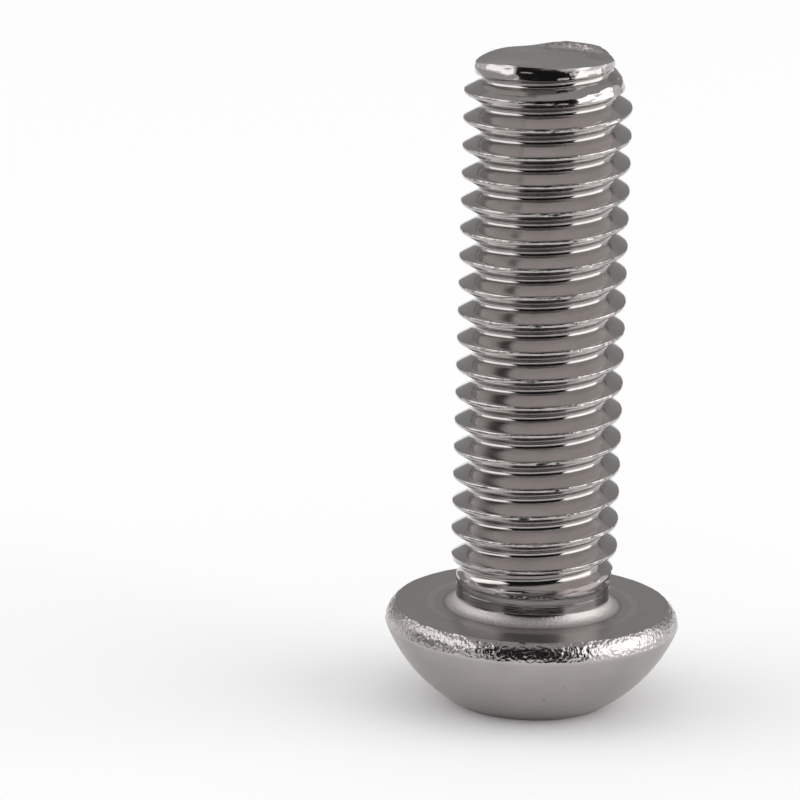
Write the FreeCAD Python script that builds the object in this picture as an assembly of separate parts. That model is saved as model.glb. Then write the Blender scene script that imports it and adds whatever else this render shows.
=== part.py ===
import FreeCAD, Part

import math
import os

# A hexagon-socket button head screw, M6 x 20, forged and rolled in one piece.
# The origin is the centre of the bearing face under the head. +Z runs along the shank
# to the tip, so the head reaches down to -head_height. The front of the screw is -Y.

# Shank and its right-hand thread. The thread's section has four corners in each pitch,
# and flat facets go from corner to corner round each turn.
shank_length = 20.0
thread_diameter = 5.96
root_diameter = 4.84
pitch = 1.0
flank_angle = 30.0
crest_flat = 0.125
crest_height_at_right = 0.23
section_corners = 4
facets_per_turn = 36

# Neck under the last turn, and the hollow round where it meets the head
neck_diameter = 5.44
neck_end = 0.95
neck_step = 0.03
run_out_start = 1.10
run_out_end = 2.10
neck_round = 0.42

# Tip, which narrows in two slopes to an end sheared slightly out of square
taper_start = 1.05
shoulder_back = 0.50
shoulder_diameter = 5.20
end_diameter = 5.00
end_slant = 2.3
end_high_side = -45.0

# Lip of metal left standing at the back of the sheared end
lip_side = 72.0
lip_width = 2.3
lip_depth = 0.75
lip_height = 0.15
lip_inset = 0.20

# Head
head_diameter = 10.5
head_height = 3.55
rim_height = 0.68
rim_inset = 0.33
flat_diameter = 5.40

# Shallow relief round the neck, inside the bearing ring
relief_width = 0.61
relief_depth = 0.03
relief_slope_width = 0.10

# Socket
key_width = 4.0
socket_depth = 2.2
mouth_diameter = 5.04
mouth_angle = 118.0
floor_fall = 0.45

# How far a cutting body reaches past the surface, how deep joined bodies overlap, and
# the volume under which four corners count as lying in one plane
overrun = 1.0
overlap = 0.10
flatness = 1e-9

origin = FreeCAD.Vector(0, 0, 0)
up = FreeCAD.Vector(0, 0, 1)
across = FreeCAD.Vector(0, 1, 0)


def at(radius, height):
    """A point of a turned section."""
    return FreeCAD.Vector(radius, 0, height)


def turned(edges):
    """A solid of revolution about the screw's axis from the edges of a closed section."""
    return Part.Face(Part.Wire(edges)).revolve(origin, up, 360)


def lines(points):
    """Straight edges from point to point."""
    return [Part.makeLine(a, b) for a, b in zip(points, points[1:])]


def arc_about(centre, radius, start, end):
    """An arc in the turned section, from one angle to another in degrees."""
    def spot(angle):
        turn = math.radians(angle)
        return centre + at(radius * math.cos(turn), radius * math.sin(turn))
    return Part.Arc(spot(start), spot((start + end) / 2), spot(end)).toShape()


def angle_from(centre, point):
    """The angle in degrees at which a point of the section is seen from a centre."""
    return math.degrees(math.atan2(point.z - centre.z, point.x - centre.x))


def dome_arc(rim, flat):
    """The dome's section: an arc centred on the screw's axis, from the rim to the flat."""
    rim_square = rim.x ** 2 + rim.z ** 2
    flat_square = flat.x ** 2 + flat.z ** 2
    centre = at(0, (rim_square - flat_square) / (2 * (rim.z - flat.z)))
    radius = (rim - centre).Length
    return arc_about(centre, radius, angle_from(centre, rim), angle_from(centre, flat))


def rim_arc(bearing, rim):
    """The rim's section: it leaves the bearing face at a corner and ends upright."""
    reach = rim.x - bearing.x
    fall = bearing.z - rim.z
    radius = (reach ** 2 + fall ** 2) / (2 * reach)
    centre = at(rim.x - radius, rim.z)
    return arc_about(centre, radius, angle_from(centre, bearing), 0)


def neck_arc(neck_radius, seat):
    """The hollow round between the neck and the relief."""
    centre = at(neck_radius + neck_round, seat + neck_round)
    return arc_about(centre, neck_round, 180, 270)


def make_head():
    """The button: relief, bearing ring, rounded rim band, spherical dome and flat."""
    seat = -relief_depth
    neck_radius = neck_diameter / 2
    relief_radius = neck_radius + neck_round + relief_width
    bearing = at(head_diameter / 2 - rim_inset, 0)
    rim = at(head_diameter / 2, -rim_height)
    flat = at(flat_diameter / 2, -head_height)
    neck_top = at(neck_radius, seat + neck_round)
    round_foot = at(neck_radius + neck_round, seat)
    relief_foot = at(relief_radius - relief_slope_width, seat)
    neck_height = neck_end + overlap
    edges = lines([at(0, neck_height), at(neck_radius, neck_height), neck_top])
    edges += [neck_arc(neck_radius, seat)]
    edges += lines([round_foot, relief_foot, at(relief_radius, 0), bearing])
    edges += [rim_arc(bearing, rim), dome_arc(rim, flat)]
    edges += lines([flat, at(0, flat.z), at(0, neck_height)])
    return turned(edges)


def polygon(corners):
    """A flat face with straight edges."""
    return Part.Face(Part.makePolygon(corners + corners[:1]))


def around(radius, column, height):
    """A point on one of the upright lines round the axis."""
    turn = 2 * math.pi * column / facets_per_turn
    return FreeCAD.Vector(radius * math.cos(turn), radius * math.sin(turn), height)


def share(low, high, value):
    """How far a value has come from low to high, from 0 to 1."""
    return min(1.0, max(0.0, (value - low) / (high - low)))


def groove_bottom(height):
    """The radius of the groove's bottom, which rises to the neck and inside the end."""
    root = root_diameter / 2
    foot = neck_diameter / 2 + neck_step
    to_neck = 1 - share(run_out_start, run_out_end, height)
    to_stub = share(shank_length + pitch / 4, shank_length + pitch / 2, height)
    return root + (foot - root) * to_neck + (end_diameter / 2 - root) * to_stub


def ridge_top(height):
    """The radius of the ridge's top: full on the shank, less at the neck and the tip."""
    foot = neck_diameter / 2 + neck_step
    crest = thread_diameter / 2
    shoulder = shoulder_diameter / 2
    at_shoulder = shank_length - shoulder_back
    near_neck = (foot - crest) * (1 - share(run_out_start, run_out_end, height))
    near_tip = (shoulder - crest) * share(shank_length - taper_start, at_shoulder, height)
    near_tip += (end_diameter / 2 - shoulder) * share(at_shoulder, shank_length, height)
    return crest + near_neck + near_tip


def thread_corner(column, number):
    """A corner of the thread's section, counted upwards, in one of the columns round it."""
    half = crest_flat / 2
    run = (thread_diameter - root_diameter) / 2 * math.tan(math.radians(flank_angle))
    turn, place = divmod(number, section_corners)
    height = crest_height_at_right + pitch * (turn - 1 + column / facets_per_turn)
    height += (-half - run, -half, half, half + run)[place]
    on_crest = place in (1, 2)
    return around(ridge_top(height) if on_crest else groove_bottom(height), column, height)


def flat_faces(corners):
    """One face through four corners, or two where they don't lie in a plane."""
    first, second, third, fourth = corners
    twist = (second - first).cross(fourth - first).dot(third - first)
    if abs(twist) < flatness:
        return [polygon(corners)]
    return [polygon([first, second, third]), polygon([first, third, fourth])]


def make_thread_skin():
    """The faces of the thread, with a plain stub at each end that is cut off later."""
    low = -2 * pitch
    high = shank_length + 3 * pitch
    last = section_corners * (math.ceil(shank_length / pitch) + 2)
    seam = facets_per_turn
    foot_radius = groove_bottom(low)
    end_radius = ridge_top(high)
    under = [around(foot_radius, column, low) for column in range(seam)]
    over = [around(end_radius, column, high) for column in range(seam)]
    faces = [polygon(under), polygon(over)]
    for column in range(seam):
        for number in range(last):
            faces += flat_faces([
                thread_corner(column, number),
                thread_corner(column + 1, number),
                thread_corner(column + 1, number + 1),
                thread_corner(column, number + 1),
            ])
        lower = [around(foot_radius, column, low), around(foot_radius, column + 1, low)]
        upper = [around(end_radius, column + 1, high), around(end_radius, column, high)]
        if column == seam - 1:
            lower += [thread_corner(0, number) for number in range(section_corners)]
        if column == 0:
            upper += [thread_corner(seam, last - number) for number in range(section_corners)]
        lower += [thread_corner(column + 1, 0), thread_corner(column, 0)]
        upper += [thread_corner(column, last), thread_corner(column + 1, last)]
        faces += [polygon(lower), polygon(upper)]
    return faces


def make_shank():
    """The threaded shank, cut level above the neck and on the slant at the tip."""
    skin = Part.makeShell(make_thread_skin())
    skin.sewShape()
    size = thread_diameter * 2
    depth = shank_length + size - neck_end
    start = FreeCAD.Vector(-size / 2, -size / 2, neck_end)
    room = Part.makeBox(size, size, depth, start).cut(make_end_cutter())
    return Part.makeSolid(skin).common(room)


def slanted(body):
    """A body made level at the origin, tilted to the slant and lifted to the end."""
    body.rotate(origin, up, -end_high_side)
    body.rotate(origin, across, -end_slant)
    body.rotate(origin, up, end_high_side)
    body.translate(up * shank_length)
    return body


def make_end_cutter():
    """Everything above the sheared end."""
    size = thread_diameter * 2
    block = Part.makeBox(size, size, size, FreeCAD.Vector(-size / 2, -size / 2, 0))
    return slanted(block)


def make_lip():
    """A low spindle-shaped lip lying along the back edge of the sheared end."""
    half = lip_width / 2
    girth = (lip_depth ** 2 / 4 + lip_height ** 2) / (2 * lip_height)
    crown = FreeCAD.Vector(0, 0, girth)
    ends = [FreeCAD.Vector(-half, 0, 0), FreeCAD.Vector(half, 0, 0)]
    edges = [Part.Arc(ends[0], crown, ends[1]).toShape(), Part.makeLine(ends[1], ends[0])]
    lip = Part.Face(Part.Wire(edges)).revolve(origin, FreeCAD.Vector(1, 0, 0), 360)
    lip.translate(FreeCAD.Vector(0, end_diameter / 2 - lip_inset, lip_height - girth))
    lip.rotate(origin, up, lip_side - 90)
    keep = Part.makeCylinder(end_diameter / 2, 2 * overrun, FreeCAD.Vector(0, 0, -overrun))
    return slanted(lip.common(keep))


def hexagon(width, height):
    """A level hexagon of the given width over its flats, with two corners on the X axis."""
    sides = 6
    reach = width / (2 * math.cos(math.pi / sides))
    corners = []
    for corner in range(sides + 1):
        turn = 2 * math.pi * corner / sides
        corners.append(FreeCAD.Vector(reach * math.cos(turn), reach * math.sin(turn), height))
    return Part.makePolygon(corners)


def make_socket():
    """Hexagon hole with a countersunk mouth and a floor that falls to a point."""
    mouth_height = -head_height
    floor_height = mouth_height + socket_depth
    opening = hexagon(key_width, mouth_height - overrun)
    walls = Part.Face(opening).extrude(up * (socket_depth + overrun))
    point = Part.Vertex(FreeCAD.Vector(0, 0, floor_height + floor_fall))
    floor = Part.makeLoft([hexagon(key_width, floor_height), point], True, True)
    mouth_radius = mouth_diameter / 2
    slope = 1 / math.tan(math.radians(mouth_angle / 2))
    wide = mouth_radius + overrun / slope
    start = FreeCAD.Vector(0, 0, mouth_height - overrun)
    mouth = Part.makeCone(wide, 0, wide * slope, start, up)
    return walls.fuse([floor, mouth])


def make_screw():
    """The whole screw as one solid."""
    head = make_head().cut(make_socket())
    return head.fuse([make_shank(), make_lip()])


os.makedirs("parts", exist_ok=True)
make_screw().exportStep("parts/button_head_screw.step")
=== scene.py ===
import math

import bpy
from mathutils import Matrix, Vector, noise


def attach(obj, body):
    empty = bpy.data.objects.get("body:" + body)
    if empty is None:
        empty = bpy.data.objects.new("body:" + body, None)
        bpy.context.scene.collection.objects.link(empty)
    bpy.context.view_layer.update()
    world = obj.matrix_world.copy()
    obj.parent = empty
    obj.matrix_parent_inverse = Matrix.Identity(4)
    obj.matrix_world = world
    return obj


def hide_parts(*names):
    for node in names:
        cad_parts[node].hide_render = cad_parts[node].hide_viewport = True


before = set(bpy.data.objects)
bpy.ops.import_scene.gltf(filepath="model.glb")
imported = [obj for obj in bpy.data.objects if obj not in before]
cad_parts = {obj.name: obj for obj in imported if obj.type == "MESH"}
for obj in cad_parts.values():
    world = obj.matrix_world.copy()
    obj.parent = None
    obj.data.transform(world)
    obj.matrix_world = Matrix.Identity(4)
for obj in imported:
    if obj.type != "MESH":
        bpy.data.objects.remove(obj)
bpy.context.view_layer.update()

# The screw is modelled in millimetres and brought to metres at the end. The origin is
# the centre of the bearing face under the head, +Z runs to the tip, -Y is the front.
# Sides of the screw are directions in degrees: 0 at the front, 90 at the right.
# Waves are rows of a frequency, in cycles a millimetre, and a height. Gaps are distances
# within which vertices are merged, or count as lying on an edge or a plane.
to_metres = 0.001
right_angle = math.radians(90)
smooth_angle = math.radians(40)
turned_gap = 0.001
joined_gap = 0.0001

# Thread
pitch = 1.0
crest_radius = 2.98
root_radius = 2.37
flank_angle = math.radians(30)
crest_flat = 0.125
crest_height_at_right = 0.23
crest_round_low = 0.14
crest_round_high = 0.07
crest_steps = 3
root_steps = 5
flank_parts = 4
thread_turns = 21
steps_per_turn = 108

# Torn seam along the crests: its depth and its waves, the heights of a wave at which it
# starts to sink and is sunk in full, and where, going right, it starts to be torn and is
# torn in full
seam_depth = 0.04
seam_gap = 0.004
seam_waves = [(4.6, 1.0), (9.7, 0.7)]
seam_sinks = (0.10, 0.60)
seam_tears = (-2.6, -0.9)

# Neck, where the thread runs out before the head, with rings left by the tool, each a
# height and how far it stands out
neck_radius = 2.72
neck_cut = 0.98
neck_gap = 0.02
neck_round = 0.42
neck_round_steps = 9
tool_rings = [(0.90, 0.03), (0.64, 0.02)]
tool_ring_foot = 0.035
tool_ring_top = 0.012
run_out_radius = 2.75
run_out_start = 1.02
groove_full = 1.78
ridge_full = 1.98

# Tip: how far out the ridge reaches where its middle is at a height, and how far out the
# collar reaches at a height
ridge_limits = [(18.93, 2.98), (19.03, 2.93), (19.23, 2.62), (19.48, 2.56)]
ridge_tilt = 0.3
collar_limits = [(19.20, 2.98), (19.40, 2.60), (19.60, 2.535), (20.0, 2.44), (20.6, 2.40)]

# Sheared end: a slanted cut with its high side at an angle from +X, closed by rings, then
# bent at its edge and shifted to the left
shank_length = 20.0
end_slant = math.radians(2.3)
end_high_side = math.radians(-45)
end_radius = 2.45
end_rings = (0.985, 0.96, 0.93, 0.90, 0.87, 0.84, 0.81, 0.78,
             0.74, 0.69, 0.62, 0.54, 0.44, 0.33, 0.20, 0.08)
end_bend_start = 19.2
end_flat_part = 0.3
end_waves = [(1.7, 0.006), (6.0, 0.003)]
end_shift = 0.14
end_shift_heights = (19.3, 19.8)
end_top = 20.105
end_top_fall = 0.01
cut_gap = 0.001
least_reach = 0.01

# Edge of the end: how it tilts, then its droops and its rise, each with its side, half
# width and height
edge_sink = 0.02
edge_tilt = 0.12
edge_tilt_side = 5
edge_lobes = [(-95, 60, -0.22), (100, 32, -0.09), (-22, 25, 0.05)]

# Torn lip on that edge: its side, half width and height, and how far in it is flaked
lip_lobe = (146, 58, 0.28)
lip_reach = (0.78, 0.92)
lip_waves = [(2.3, 0.25)]
lip_flakes = [(3.1, 0.4), (7.0, 0.6)]
lip_flake_gain = 4

# Head
head_radius = 5.25
head_height = 3.55
head_columns = 432
rim_height = 0.68
rim_steps = 15
dome_steps = 20
flat_radius = 2.70
bearing_radius = 4.92
bearing_parts = 5
relief_radius = 3.75
relief_depth = 0.03
relief_slope_width = 0.1
burr_height = 0.012
burr_width = 0.09
burr_inset = 0.02

# Grain of the torn rim: its crystals, the gaps between them, and how ragged the grain
# ends above the dome
crystal_size = 0.19
crystal_depth = 0.035
gap_width = 0.5
gap_share = 0.65
swell_share = 0.35
swell_waves = [(2.3, 0.5)]
grain_inset = 0.05
grain_floor = -1.0
grain_end = (0.58, 0.78)
grain_end_waves = [(3.0, 0.06)]
upright_share = 0.5

# Fraying of the burr along the bearing face's edge
fray_start = -0.03
fray_depth = 0.012
fray_waves = [(2.5, 0.012)]
burr_sink = 0.5
burr_waves = [(5.0, 1.0)]

# Socket
key_width = 4.0
socket_depth = 2.2
mouth_radius = 2.52
mouth_half_angle = math.radians(59)
mouth_gap = 0.01
floor_fall = 0.45

# Small dark pits in the dome: place and radius
pits = [((0.43, -4.18, -2.28), 0.10), ((1.10, -4.52, -1.68), 0.09), ((1.75, -4.30, -1.95), 0.06)]


# Modelling helpers

def share(low, high, value):
    """How far a value has come from low to high, from 0 to 1."""
    return min(1.0, max(0.0, (value - low) / (high - low)))


def smooth_share(low, high, value):
    """As share, with an even curve between the two ends."""
    part = share(low, high, value)
    return part * part * (3 - 2 * part)


def look_up(table, height):
    """A radius from a table of heights and radii."""
    for (low, below), (high, above) in zip(table, table[1:]):
        if height < high:
            return below + (above - below) * share(low, high, height)
    return table[-1][1]


def front_angle(spot):
    """The side of the screw that a place is on, in degrees."""
    return math.degrees(math.atan2(spot.x, -spot.y))


def lobe(angle, middle, half_width, height):
    """A smooth swelling over a stretch of the screw's sides."""
    off = (angle - middle + 180) % 360 - 180
    if abs(off) > half_width:
        return 0.0
    return height * math.cos(math.pi / 2 * off / half_width) ** 2


def waved(spot, waves):
    """The sum of some waves at a place."""
    return sum(height * noise.noise(spot * frequency) for frequency, height in waves)


def edit(piece):
    """Opens one piece in edit mode with nothing selected."""
    if bpy.context.object and bpy.context.object.mode != "OBJECT":
        bpy.ops.object.mode_set(mode="OBJECT")
    bpy.ops.object.select_all(action="DESELECT")
    bpy.context.view_layer.objects.active = piece
    piece.select_set(True)
    bpy.ops.object.mode_set(mode="EDIT")
    bpy.ops.mesh.select_mode(type="VERT")
    bpy.ops.mesh.select_all(action="DESELECT")


def done():
    """Leaves edit mode."""
    bpy.ops.object.mode_set(mode="OBJECT")


def select_where(piece, chosen):
    """Opens one piece in edit mode with the vertices selected that a rule picks."""
    edit(piece)
    done()
    for vertex in piece.data.vertices:
        vertex.select = chosen(vertex.co)
    bpy.ops.object.mode_set(mode="EDIT")


def move_selected(piece, place):
    """Moves each selected vertex to the place that a rule gives."""
    done()
    for vertex in piece.data.vertices:
        if vertex.select:
            vertex.co = place(vertex.co)
    bpy.ops.object.mode_set(mode="EDIT")


def rounded(before, corner, after, radius, steps):
    """The points of an arc that takes a corner off an outline."""
    back = (before - corner).normalized()
    on = (after - corner).normalized()
    half = back.angle(on) / 2
    centre = corner + (back + on).normalized() * radius / math.sin(half)
    start = (corner + back * radius / math.tan(half) - centre).normalized()
    end = (corner + on * radius / math.tan(half) - centre).normalized()
    return [centre + radius * start.slerp(end, step / steps) for step in range(steps + 1)]


def between(start, end, parts):
    """Points that divide a straight run, without its two ends."""
    return [start.lerp(end, part / parts) for part in range(1, parts)]


def arc_points(centre, radius, start, end, steps):
    """Points along an arc of the section, from one angle to another."""
    points = []
    for step in range(steps + 1):
        turn = start + (end - start) * step / steps
        points.append(centre + radius * Vector((math.cos(turn), math.sin(turn))))
    return points


def angle_from(centre, point):
    """The angle at which a point of the section is seen from a centre."""
    return math.atan2(point.y - centre.y, point.x - centre.x)


def draw_outline(name, points):
    """An open outline in the XZ plane, drawn out point by point from one vertex."""
    bpy.ops.object.select_all(action="DESELECT")
    bpy.ops.mesh.primitive_plane_add(size=1, location=(points[0].x, 0, points[0].y))
    piece = bpy.context.object
    piece.name = name
    bpy.ops.object.transform_apply(location=True, rotation=False, scale=False)
    edit(piece)
    bpy.ops.mesh.select_all(action="SELECT")
    bpy.ops.mesh.merge(type="CENTER")
    for here, there in zip(points, points[1:]):
        step = there - here
        bpy.ops.mesh.extrude_region_move(TRANSFORM_OT_translate={"value": (step.x, 0, step.y)})
    done()
    return piece


def turn_outline(piece, steps, rise=0.0, turns=1):
    """Turns an outline about the Z axis, rising by the given height each turn."""
    turning = piece.modifiers.new("turning", "SCREW")
    turning.axis = "Z"
    turning.angle = 2 * math.pi
    turning.screw_offset = rise
    turning.iterations = turns
    turning.steps = steps
    turning.render_steps = steps
    turning.use_merge_vertices = True
    turning.merge_threshold = turned_gap
    bpy.ops.object.modifier_apply(modifier=turning.name)


# Threaded shank

def thread_outline():
    """One pitch of the thread, from the middle of one root to the middle of the next."""
    run = (crest_radius - root_radius) * math.tan(flank_angle)
    half_root = pitch / 2 - crest_flat / 2 - run
    root_round = half_root / math.tan((right_angle - flank_angle) / 2)
    crest = crest_height_at_right
    low_root = Vector((root_radius, crest - pitch / 2))
    low_foot = Vector((root_radius, crest - crest_flat / 2 - run))
    low_edge = Vector((crest_radius, crest - crest_flat / 2))
    high_edge = Vector((crest_radius, crest + crest_flat / 2))
    high_foot = Vector((root_radius, crest + crest_flat / 2 + run))
    high_root = Vector((root_radius, crest + pitch / 2))
    low_curve = rounded(low_root, low_foot, low_edge, root_round, root_steps)
    low_lip = rounded(low_foot, low_edge, high_edge, crest_round_low, crest_steps)
    high_lip = rounded(low_edge, high_edge, high_foot, crest_round_high, crest_steps)
    high_curve = rounded(high_edge, high_foot, high_root, root_round, root_steps)
    low_flank = between(low_curve[-1], low_lip[0], flank_parts)
    high_flank = between(high_lip[-1], high_curve[0], flank_parts)
    return low_curve + low_flank + low_lip + high_lip + high_flank + high_curve


def ridge_height(spot):
    """Height of the middle of the ridge that is nearest to a place."""
    first = crest_height_at_right + pitch * math.atan2(spot.y, spot.x) / (2 * math.pi)
    return first + pitch * round((spot.z - first) / pitch)


def tip_limit(spot):
    """The most that the thread reaches out at a place near the tip."""
    ridge = ridge_height(spot)
    flattened = look_up(ridge_limits, ridge)
    if flattened < crest_radius:
        flattened -= ridge_tilt * (spot.z - ridge)
    return min(flattened, look_up(collar_limits, spot.z))


def fit_thread_ends(piece):
    """Runs the groove out, flattens the ridge at both ends and tears its seam."""
    for vertex in piece.data.vertices:
        radius = math.hypot(vertex.co.x, vertex.co.y)
        height = vertex.co.z
        groove = share(run_out_start, groove_full, height)
        ridge = share(run_out_start, ridge_full, height)
        core = run_out_radius + (root_radius - run_out_radius) * groove
        limit = run_out_radius + (crest_radius - run_out_radius) * ridge
        limit = min(limit, tip_limit(vertex.co))
        part = (radius - root_radius) / (crest_radius - root_radius)
        reach = min(core + part * (crest_radius - core), limit)
        if reach > limit - seam_gap:
            torn = smooth_share(*seam_tears, vertex.co.x)
            reach -= seam_depth * torn * share(*seam_sinks, waved(vertex.co, seam_waves))
        vertex.co.x *= reach / radius
        vertex.co.y *= reach / radius


def end_plane(spot):
    """Height of the slanted cut over a place."""
    reach = math.hypot(spot.x, spot.y)
    off = math.atan2(spot.y, spot.x) - end_high_side
    return shank_length + reach * math.cos(off) * math.tan(end_slant)


def edge_height(angle):
    """Height of the end's edge, which is tilted, droops at both sides and rises in front."""
    tilt = edge_tilt * math.cos(math.radians(angle - edge_tilt_side))
    height = shank_length - edge_sink + tilt
    for middle, half_width, rise in edge_lobes:
        height += lobe(angle, middle, half_width, rise)
    return height


def lip_rise(spot, inward):
    """Height of the torn lip at the back right: full at the edge, flaked inside it."""
    flakes = lip_flake_gain * inward * (1 - inward) * waved(spot, lip_flakes)
    ragged = 1 + waved(spot, lip_waves) + flakes
    return lobe(front_angle(spot), *lip_lobe) * ragged * inward


def bend_end(piece):
    """Gives the flat cut of the end its sheared form."""
    for vertex in piece.data.vertices:
        spot = vertex.co.copy()
        if spot.z < end_bend_start:
            continue
        reach = math.hypot(spot.x, spot.y)
        plane = end_plane(spot)
        edge = spot * (end_radius / max(reach, least_reach))
        fall = edge_height(front_angle(spot)) - end_plane(edge)
        if abs(spot.z - plane) < cut_gap:
            outward = reach / end_radius
            vertex.co.z += fall * smooth_share(end_flat_part, 1.0, outward)
            vertex.co.z += lip_rise(spot, smooth_share(*lip_reach, outward))
            vertex.co.z += waved(spot, end_waves)
        else:
            part = share(end_bend_start, plane, spot.z)
            vertex.co.z += (fall + lip_rise(spot, 1.0)) * part
        vertex.co.x -= end_shift * smooth_share(*end_shift_heights, spot.z)
        vertex.co.z = min(vertex.co.z, end_top - end_top_fall * (1 - reach / crest_radius))


def make_shank():
    """The thread, cut off level at the neck and on the slant at the tip."""
    shank = draw_outline("shank", thread_outline())
    turn_outline(shank, steps_per_turn, pitch, thread_turns)
    fit_thread_ends(shank)
    edit(shank)
    bpy.ops.mesh.select_all(action="SELECT")
    bpy.ops.mesh.bisect(plane_co=(0, 0, neck_cut), plane_no=(0, 0, 1), clear_inner=True)
    slope = math.tan(end_slant)
    lean = (-slope * math.cos(end_high_side), -slope * math.sin(end_high_side), 1)
    middle = (0, 0, shank_length)
    bpy.ops.mesh.select_all(action="SELECT")
    bpy.ops.mesh.bisect(plane_co=middle, plane_no=Vector(lean).normalized(), clear_outer=True)
    for outer, inner in zip((1.0,) + end_rings, end_rings):
        bpy.ops.mesh.extrude_region_move()
        size = inner / outer
        bpy.ops.transform.resize(value=(size, size, size), center_override=middle)
    bpy.ops.mesh.merge(type="CENTER")
    done()
    bend_end(shank)
    return shank


# Head

def neck_outline():
    """The neck's section down to its hollow round, with the tool's fine rings."""
    points = [Vector((neck_radius, neck_cut - neck_gap))]
    for height, proud in tool_rings:
        points.append(Vector((neck_radius, height + tool_ring_foot)))
        points.append(Vector((neck_radius + proud, height + tool_ring_top)))
        points.append(Vector((neck_radius + proud, height - tool_ring_top)))
        points.append(Vector((neck_radius, height - tool_ring_foot)))
    return points


def head_outline():
    """The head's section from the neck, over rim and dome, to the socket's mouth."""
    seat = -relief_depth
    hollow = Vector((neck_radius + neck_round, seat + neck_round))
    relief_foot = Vector((relief_radius - relief_slope_width, seat))
    relief_edge = Vector((relief_radius, 0))
    bearing = Vector((bearing_radius, 0))
    burr_foot = bearing - Vector((burr_width, 0))
    burr_top = bearing + Vector((-burr_inset, burr_height))
    rim = Vector((head_radius, -rim_height))
    flat = Vector((flat_radius, -head_height))
    mouth = Vector((mouth_radius, -head_height))
    reach = rim.x - bearing.x
    rim_radius = (reach ** 2 + rim_height ** 2) / (2 * reach)
    rim_centre = Vector((rim.x - rim_radius, rim.y))
    rim_start = angle_from(rim_centre, bearing)
    rise = (rim.length_squared - flat.length_squared) / (2 * (rim.y - flat.y))
    dome_centre = Vector((0, rise))
    dome_radius = (rim - dome_centre).length
    dome_start = angle_from(dome_centre, rim)
    dome_end = angle_from(dome_centre, flat)
    points = neck_outline()
    points += arc_points(hollow, neck_round, math.pi, 1.5 * math.pi, neck_round_steps)
    points += [relief_foot, relief_edge] + between(relief_edge, burr_foot, bearing_parts)
    points += [burr_foot, burr_top]
    points += arc_points(rim_centre, rim_radius, rim_start, 0, rim_steps)
    points += arc_points(dome_centre, dome_radius, dome_start, dome_end, dome_steps)[1:]
    return points + [mouth]


def crystals(spot):
    """The torn, grainy relief of the rim: 0 on top, 1 in the deepest pits."""
    distances = noise.voronoi(spot / crystal_size)[0]
    ridges = share(0.0, gap_width, distances[1] - distances[0])
    swell = 0.5 + waved(spot, swell_waves)
    return gap_share * (1 - ridges) + swell_share * swell


def roughen_rim(head):
    """Sinks the grain of the forging into the rim band and frays the burr above it."""
    normals = [vertex.normal.copy() for vertex in head.data.vertices]
    for vertex, normal in zip(head.data.vertices, normals):
        spot = vertex.co.copy()
        reach = math.hypot(spot.x, spot.y)
        if reach < bearing_radius - grain_inset or spot.z < grain_floor:
            continue
        grained = 1 - smooth_share(*grain_end, -spot.z + waved(spot, grain_end_waves))
        pull = crystal_depth * grained * crystals(spot)
        if spot.z > fray_start:
            pull = fray_depth + waved(spot, fray_waves)
        if spot.z > 0:
            vertex.co.z -= burr_sink * burr_height * (1 + waved(spot, burr_waves))
        vertex.co.x -= pull * spot.x / reach
        vertex.co.y -= pull * spot.y / reach
        vertex.co.z -= pull * upright_share * max(0.0, normal.z) * grained


def in_mouth(spot):
    """Whether a place is on the edge that the socket's mouth opens in."""
    reach = math.hypot(spot.x, spot.y)
    return reach < mouth_radius + mouth_gap and spot.z < -head_height + mouth_gap


def on_hexagon(spot):
    """The place on the hexagon, in the countersink, straight inward from a place."""
    turn = math.atan2(spot.y, spot.x)
    sixth = math.pi / 3
    radius = key_width / 2 / math.cos(turn % sixth - sixth / 2)
    height = -head_height + (mouth_radius - radius) / math.tan(mouth_half_angle)
    return Vector((radius * math.cos(turn), radius * math.sin(turn), height))


def at_socket_floor(spot):
    """The place at the socket's floor, straight in from a place."""
    return Vector((spot.x, spot.y, socket_depth - head_height))


def make_head():
    """The head with its hexagon socket, open only at the neck."""
    head = draw_outline("head", head_outline())
    turn_outline(head, head_columns)
    roughen_rim(head)
    select_where(head, in_mouth)
    bpy.ops.mesh.extrude_region_move()
    move_selected(head, on_hexagon)
    bpy.ops.mesh.extrude_region_move()
    move_selected(head, at_socket_floor)
    half_fall = {"value": (0, 0, floor_fall / 2)}
    bpy.ops.mesh.extrude_region_move(TRANSFORM_OT_translate=half_fall)
    bpy.ops.transform.resize(value=(0.5, 0.5, 1))
    bpy.ops.mesh.extrude_region_move(TRANSFORM_OT_translate=half_fall)
    bpy.ops.mesh.merge(type="CENTER")
    done()
    return head


def join_at_neck(shank, head):
    """Joins shank and head into one closed skin."""
    bpy.ops.object.select_all(action="DESELECT")
    shank.select_set(True)
    head.select_set(True)
    bpy.context.view_layer.objects.active = shank
    bpy.ops.object.join()
    screw = bpy.context.object
    screw.name = "threaded_screw"
    edit(screw)
    bpy.ops.mesh.select_all(action="SELECT")
    bpy.ops.mesh.remove_doubles(threshold=joined_gap)
    bpy.ops.mesh.select_all(action="DESELECT")
    bpy.ops.mesh.select_non_manifold()
    bpy.ops.mesh.bridge_edge_loops()
    bpy.ops.mesh.select_all(action="SELECT")
    bpy.ops.mesh.remove_doubles(threshold=joined_gap)
    bpy.ops.mesh.normals_make_consistent(inside=False)
    done()
    return screw


screw = join_at_neck(make_shank(), make_head())
screw.data.name = "threaded_screw"
bpy.ops.object.select_all(action="DESELECT")
screw.select_set(True)
bpy.ops.transform.resize(value=(to_metres,) * 3, center_override=(0, 0, 0))
bpy.ops.object.transform_apply(location=True, rotation=True, scale=True)
bpy.ops.object.shade_smooth_by_angle(angle=smooth_angle)


# Materials: nodes and the maths on them

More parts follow.
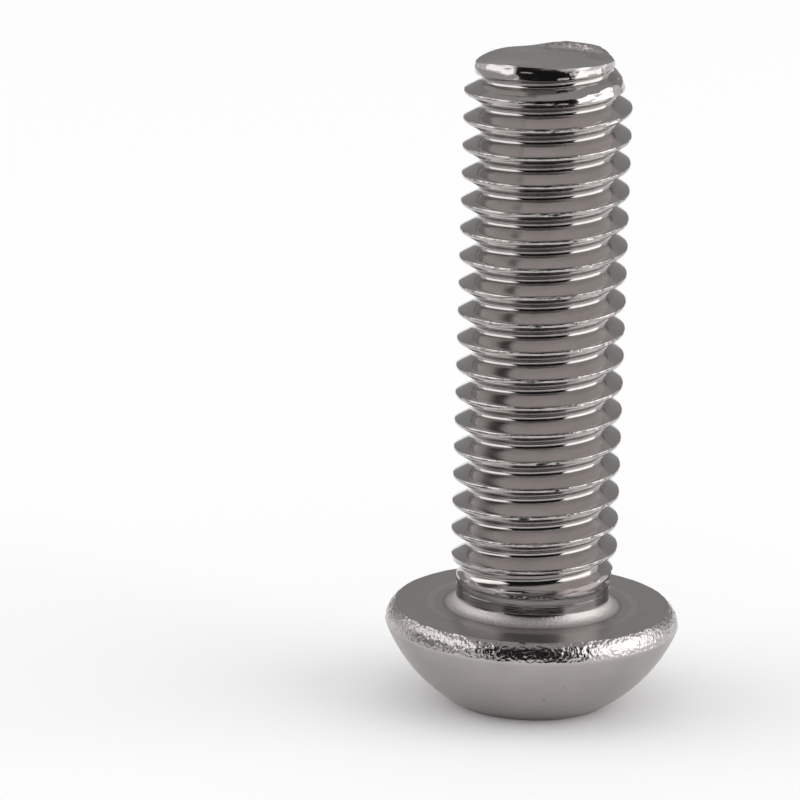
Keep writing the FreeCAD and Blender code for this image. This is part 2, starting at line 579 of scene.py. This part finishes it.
class Wire:
    """A node's output socket, on which Python's operators add Math nodes."""

    def __init__(self, recipe, socket):
        self.recipe = recipe
        self.socket = socket

    def calc(self, operation, first, second=0.0):
        return self.recipe.node("ShaderNodeMath", {"operation": operation}, {0: first, 1: second})

    def __add__(self, other):
        return self.calc("ADD", self, other)

    def __radd__(self, other):
        return self.calc("ADD", other, self)

    def __sub__(self, other):
        return self.calc("SUBTRACT", self, other)

    def __rsub__(self, other):
        return self.calc("SUBTRACT", other, self)

    def __mul__(self, other):
        return self.calc("MULTIPLY", self, other)

    def __rmul__(self, other):
        return self.calc("MULTIPLY", other, self)

    def __pow__(self, other):
        return self.calc("POWER", self, other)

    def angle_over(self, other):
        """The angle whose tangent is this value over another."""
        return self.calc("ARCTAN2", self, other)

    def fraction(self):
        """What is left of the value after its whole number."""
        return self.calc("FRACT", self)

    def step(self, low, high):
        """0 below low, 1 above high, smooth between."""
        return self.recipe.node("ShaderNodeMapRange", {"interpolation_type": "SMOOTHSTEP"},
                                {"Value": self, "From Min": low, "From Max": high})

    def band(self, start, end):
        """1 in a band with a soft edge at its start and at its end, 0 outside it."""
        return self.step(*start) * (1 - self.step(*end))


class Recipe:
    """The nodes of one material or of the world."""

    def __init__(self, owner):
        owner.use_nodes = True
        self.tree = owner.node_tree
        self.tree.nodes.clear()

    def node(self, kind, settings, sockets, output=0):
        """Adds a node, sets it, then fills its sockets with values or wires."""
        made = self.tree.nodes.new(kind)
        for name, value in settings.items():
            setattr(made, name, value)
        for name, value in sockets.items():
            if isinstance(value, Wire):
                self.tree.links.new(value.socket, made.inputs[name])
            else:
                made.inputs[name].default_value = value
        if not made.outputs:
            return None
        return Wire(self, made.outputs[output])

    def place(self):
        """The place on the piece, in its own coordinates."""
        return self.node("ShaderNodeTexCoord", {}, {}, 3)

    def axis(self, place, number):
        """One coordinate of a place."""
        return self.node("ShaderNodeSeparateXYZ", {}, {0: place}, number)

    def noise(self, place, scale, detail):
        """Even noise between 0 and 1."""
        return self.node("ShaderNodeTexNoise", {},
                         {"Vector": place, "Scale": scale, "Detail": detail})

    def stretched_noise(self, place, across, along, detail):
        """Noise with one frequency across the screw and another along it."""
        sizes = (across, across, along)
        stretched = self.node("ShaderNodeVectorMath", {"operation": "MULTIPLY"},
                              {0: place, 1: sizes})
        return self.noise(stretched, scale=1.0, detail=detail)

    def blend(self, part, first, second):
        """A colour between two others."""
        return self.node("ShaderNodeMix", {"data_type": "RGBA"}, {0: part, 6: first, 7: second}, 2)


def grey(brightness):
    """A neutral colour."""
    return (brightness, brightness, brightness, 1)


def layered(base, layers):
    """A base value with layers laid over it, each a strength and where it lies."""
    total = base
    for strength, where in layers:
        total = total + strength * where
    return total


# Steel: each edge of a zone is where it begins and where it is full, as a height or, for
# those named edge, as a distance from the axis
shank_foot = (0.21, 0.38)
neck_top = (0.95, 1.10)
thread_foot = (1.00, 1.15)
dome_top = (-0.80, -0.62)
end_foot = (19.70, 19.74)
lip_foot = (19.84, 19.98)
end_edge = (2.42, 2.46)
root_edge = (2.44, 2.62)
head_edge = (2.90, 3.10)
crest_edge = (2.93, 2.96)
fillet_edge = (3.0, 3.2)
rim_edge = (4.86, 4.92)
# painted shade in a ring at the fillet's foot, and a painted highlight in a ring at the relief's
# edge
painted_shade_ring_edges = (3.08, 3.14), (3.20, 3.28)
painted_highlight_ring_edges = (3.48, 3.58), (3.72, 3.82)

# Steel: how far back the lip starts, how torn the crests are at the least and where they
# are torn in full, the seam's place above the crest's middle, the noise at which dashes
# and breaks begin, the dark core of a pit, and the plain metal
lip_front = (0.6, 1.3)
least_tear = 0.25
torn_crests = (-2.2, -0.6)
seam_edges = (0.0, 0.02), (0.05, 0.075)
dash_edge = (0.46, 0.60)
break_edge = (0.50, 0.60)
pit_core = 0.4
pit_shade = 0.4
plain_shade = 0.66
plain_roughness = 0.04
pale_steel = (0.660, 0.622, 0.606, 1)


class SteelSurface:
    """The zones and patterns of the screw, each a wire that is 1 where it is full."""

    def __init__(self, mix):
        object_place = mix.place()
        place = mix.node("ShaderNodeVectorMath", {"operation": "SCALE"},
                         {0: object_place, "Scale": 1 / to_metres})
        self.find_zones(mix, place)
        self.draw_patterns(mix, place)

    def find_zones(self, mix, place):
        """Where each part of the screw lies."""
        x = mix.axis(place, 0)
        y = mix.axis(place, 1)
        height = mix.axis(place, 2)
        self.radius = (x * x + y * y) ** 0.5
        from_end_middle = x + end_shift
        end_reach = (from_end_middle * from_end_middle + y * y) ** 0.5
        self.shank = height.step(*shank_foot)
        self.thread = height.step(*thread_foot)
        self.neck = height.band(shank_foot, neck_top)
        self.end = height.step(*end_foot) * (1 - end_reach.step(*end_edge))
        self.lip = self.end * height.step(*lip_foot) * y.step(*lip_front)
        self.dome = 1 - height.step(*dome_top)
        outside = self.radius.step(*head_edge)
        self.rim = outside * self.radius.step(*rim_edge) * height.step(*dome_top)
        self.face = (1 - self.shank) * (1 - self.dome) * (1 - self.rim)
        self.fillet = self.face * (1 - self.radius.step(*fillet_edge))
        self.painted_shade_ring = self.face * self.radius.band(*painted_shade_ring_edges)
        self.painted_highlight_ring = self.face * self.radius.band(*painted_highlight_ring_edges)
        self.root = self.thread * (1 - self.radius.step(*root_edge)) * (1 - self.end)
        self.crest = self.thread * self.radius.step(*crest_edge)
        self.torn = least_tear + (1 - least_tear) * x.step(*torn_crests)
        turn = y.angle_over(x)
        climb = height - crest_height_at_right - turn * (pitch / (2 * math.pi)) + pitch / 2
        above_crest = climb.fraction() - pitch / 2
        self.seam = self.crest * above_crest.band(*seam_edges)

    def draw_patterns(self, mix, place):
        """Streaks of rolling, grain of forging, rings of turning, and wear."""
        self.streaks = mix.stretched_noise(place, across=1.2, along=16.0, detail=4.0)
        self.fine_streaks = mix.stretched_noise(place, across=3.0, along=60.0, detail=3.0)
        dashes = mix.stretched_noise(place, across=4.5, along=7.0, detail=3.0)
        breaks = mix.stretched_noise(place, across=3.2, along=2.0, detail=3.0)
        self.dashes = dashes.step(*dash_edge)
        self.breaks = breaks.step(*break_edge)
        self.beads = mix.stretched_noise(place, across=7.0, along=10.0, detail=2.0)
        self.cloud = mix.noise(place, scale=0.9, detail=3.0)
        self.grain = mix.noise(place, scale=22.0, detail=3.0)
        self.fine_crystals = mix.noise(place, scale=12.0, detail=2.0)
        self.crystals = mix.node("ShaderNodeTexVoronoi", {"feature": "F1"},
                                 {"Vector": place, "Scale": 8.0})
        self.rings = mix.node("ShaderNodeTexNoise", {"noise_dimensions": "1D"},
                              {"W": self.radius, "Scale": 9.0, "Detail": 4.0})
        self.unpitted = 1.0
        for spot, size in pits:
            away = mix.node("ShaderNodeVectorMath", {"operation": "DISTANCE"},
                            {0: place, 1: spot}, 1)
            self.unpitted = away.step(pit_core * size, size) * self.unpitted


def steel_colour(mix, on):
    """Pale steel, darker in roots and pits, with painted shade and painted highlights on it."""
    shade = layered(plain_shade, [
        (0.14, on.cloud),
        (-0.18, on.root * on.streaks),
        (-0.12, on.crest * on.dashes),
        # painted shade: the torn seam along the crests is darkened, in broken lengths, where its
        # groove would be shaded
        (-0.38, on.seam * on.breaks),
        # painted shade: the dome, which faces the shaded floor under the head, is darkened
        (-0.11, on.dome),
        # painted highlight: the fillet under the head is lightened to give its satin band a bright
        # sheen
        (0.24, on.fillet),
        # painted shade in the ring at the fillet's foot, painted highlight in the ring at the
        # relief's edge
        (-0.16, on.painted_shade_ring),
        (0.10, on.painted_highlight_ring),
        # painted shade in the neck under the head, deeper along the streaks
        (-0.28, on.neck),
        (-0.30, on.neck * on.streaks),
        (0.25, on.lip),
        (-0.35, on.lip * on.dashes),
    ])
    shade = shade * (pit_shade + (1 - pit_shade) * on.unpitted)
    return mix.blend(shade, grey(0.0), pale_steel)


def steel_roughness(on):
    """Bright thread, satin head."""
    return layered(plain_roughness, [
        (0.06, on.cloud),
        (0.04, on.streaks * on.thread),
        (0.28, on.face),
        (0.20, on.fillet),
        (0.27, on.dome),
        (0.20, on.end),
        (0.12, on.rim),
    ])


def steel_relief(on):
    """Height of the fine relief, in millimetres."""
    return layered(0.0, [
        (0.0020, on.shank * on.streaks),
        (0.0006, on.shank * on.fine_streaks),
        (0.020, on.crest * on.torn * on.beads),
        (0.0012, on.dome * on.grain),
        (0.006, on.dome * on.cloud),
        (0.0015, on.face * on.rings),
        (0.0012, on.face * on.grain),
        (0.024, on.fillet * on.fine_crystals),
        (0.015, on.rim * on.crystals),
        (0.012, on.rim * on.fine_crystals),
        (0.002, on.end * on.grain),
        (0.003, on.end * on.streaks),
        (0.04, on.lip * on.beads),
    ])


def steel():
    """Bare stainless steel: rolled thread, turned face, torn rim and satin dome."""
    material = bpy.data.materials.new("satin_stainless_steel")
    mix = Recipe(material)
    on = SteelSurface(mix)
    normal = mix.node("ShaderNodeBump", {}, {"Height": steel_relief(on), "Distance": to_metres})
    skin = mix.node("ShaderNodeBsdfPrincipled", {}, {
        "Base Color": steel_colour(mix, on),
        "Metallic": 1.0,
        "Roughness": steel_roughness(on),
        "Normal": normal,
    })
    mix.node("ShaderNodeOutputMaterial", {}, {"Surface": skin})
    return material


screw.data.materials.clear()
screw.data.materials.append(steel())
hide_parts("button_head_screw")
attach(screw, "root")


# Studio, in metres

floor_height = -head_height * to_metres
floor_size = 6
floor_brightness = 0.93
floor_card_lift = 0.0005
card_fade = (0.1, 0.5)
room_brightness = 0.80
lamp_size = (0.80, 0.56)
lamp_aim = (0, 0, 0.01)


def make_floor():
    """A plain pale floor under the head."""
    bpy.ops.object.select_all(action="DESELECT")
    bpy.ops.mesh.primitive_plane_add(size=floor_size, location=(0, 0, floor_height))
    floor = bpy.context.object
    floor.name = "floor"
    material = bpy.data.materials.new("pale_floor")
    mix = Recipe(material)
    skin = mix.node("ShaderNodeBsdfDiffuse", {}, {"Color": grey(floor_brightness)})
    mix.node("ShaderNodeOutputMaterial", {}, {"Surface": skin})
    floor.data.materials.append(material)


def make_card(name, brightness, size, location, aim, edge=None):
    """A card that only the metal's gloss shows, plain or paler towards its edge."""
    bpy.ops.object.select_all(action="DESELECT")
    bpy.ops.mesh.primitive_plane_add(size=1, location=location)
    card = bpy.context.object
    card.name = name
    card.scale = (size[0], size[1], 1)
    card.rotation_mode = "QUATERNION"
    card.rotation_quaternion = (Vector(aim) - Vector(location)).to_track_quat("Z", "Y")
    material = bpy.data.materials.new(name + "_paper")
    mix = Recipe(material)
    colour = grey(brightness)
    if edge is not None:
        outward = mix.node("ShaderNodeVectorMath", {"operation": "LENGTH"}, {0: mix.place()}, 1)
        colour = mix.blend(outward.step(*card_fade), colour, grey(edge))
    skin = mix.node("ShaderNodeEmission", {}, {"Color": colour})
    mix.node("ShaderNodeOutputMaterial", {}, {"Surface": skin})
    card.data.materials.append(material)
    card.visible_camera = False
    card.visible_diffuse = False
    card.visible_shadow = False


def make_floor_card(name, brightness, left, right, near, far):
    """A card that lies on the floor outside the camera's view."""
    middle = ((left + right) / 2, (near + far) / 2, floor_height + floor_card_lift)
    above = (middle[0], middle[1], 1.0)
    make_card(name, brightness, (right - left, far - near), middle, above)


def make_world():
    """Even white surroundings."""
    world = bpy.data.worlds.new("white_room")
    bpy.context.scene.world = world
    mix = Recipe(world)
    light = mix.node("ShaderNodeBackground", {}, {"Color": grey(1), "Strength": room_brightness})
    mix.node("ShaderNodeOutputWorld", {}, {"Surface": light})


def make_lamp(name, power, location):
    """A softbox."""
    data = bpy.data.lights.new(name, "AREA")
    data.shape = "RECTANGLE"
    data.size = lamp_size[0]
    data.size_y = lamp_size[1]
    data.energy = power
    lamp = bpy.data.objects.new(name, data)
    bpy.context.scene.collection.objects.link(lamp)
    lamp.location = location
    lamp.rotation_mode = "QUATERNION"
    lamp.rotation_quaternion = (Vector(location) - Vector(lamp_aim)).to_track_quat("Z", "Y")


make_floor()
make_card("dark_card", brightness=0.015, size=(1.0, 0.76),
          location=(-0.03, -0.45, 0.377), aim=(-0.03, 0, 0.377))
make_card("ceiling_card", brightness=0.42, size=(1.6, 1.3),
          location=(0, 0.3, 0.62), aim=(0, 0.3, 0))
make_card("back_card", brightness=0.33, size=(1.5, 0.62),
          location=(0, 0.75, 0.307), aim=(0, 0, 0.307))
make_card("left_flag", brightness=0.16, size=(0.021, 0.0085),
          location=(-0.013, -0.005, 0.0007), aim=(0, -0.005, 0.0007), edge=0.9)
make_floor_card("front_floor_card", brightness=0.36, left=-0.05, right=0.04, near=-0.30, far=-0.035)
make_floor_card("left_floor_card", brightness=0.5, left=-0.30, right=-0.05, near=-0.30, far=0.30)
make_world()
make_lamp("left_softbox", power=1.6, location=(-0.60, -0.04, 0.29))
make_lamp("right_softbox", power=2.2, location=(0.60, -0.10, 0.29))


# Camera, as far and as high as the photograph's

camera_distance = 0.2488
camera_elevation = 0.2623
camera_roll = 0.0268
camera_aside = 4.9276 * to_metres
camera_aim_height = 7.5259 * to_metres
camera_lens = 315.0
camera_nearest = 0.01
camera_farthest = 20.0
sensor_width = 36.0


def make_camera():
    """The camera at the photograph's place."""
    back = Vector((0, -math.cos(camera_elevation), math.sin(camera_elevation)))
    right = (-back).cross(Vector((0, 0, 1))).normalized()
    upward = right.cross(-back)
    turned_right = math.cos(camera_roll) * right + math.sin(camera_roll) * upward
    turned_up = math.cos(camera_roll) * upward - math.sin(camera_roll) * right
    aim = Vector((0, 0, camera_aim_height))
    place = aim + back * camera_distance - turned_right * camera_aside
    data = bpy.data.cameras.new("camera")
    data.lens = camera_lens
    data.sensor_width = sensor_width
    data.clip_start = camera_nearest
    data.clip_end = camera_farthest
    camera = bpy.data.objects.new("camera", data)
    bpy.context.scene.collection.objects.link(camera)
    turn = Matrix((turned_right, turned_up, back)).transposed()
    camera.matrix_world = Matrix.Translation(place) @ turn.to_4x4()
    bpy.context.scene.camera = camera


make_camera()
bpy.context.scene.view_settings.view_transform = "Standard"
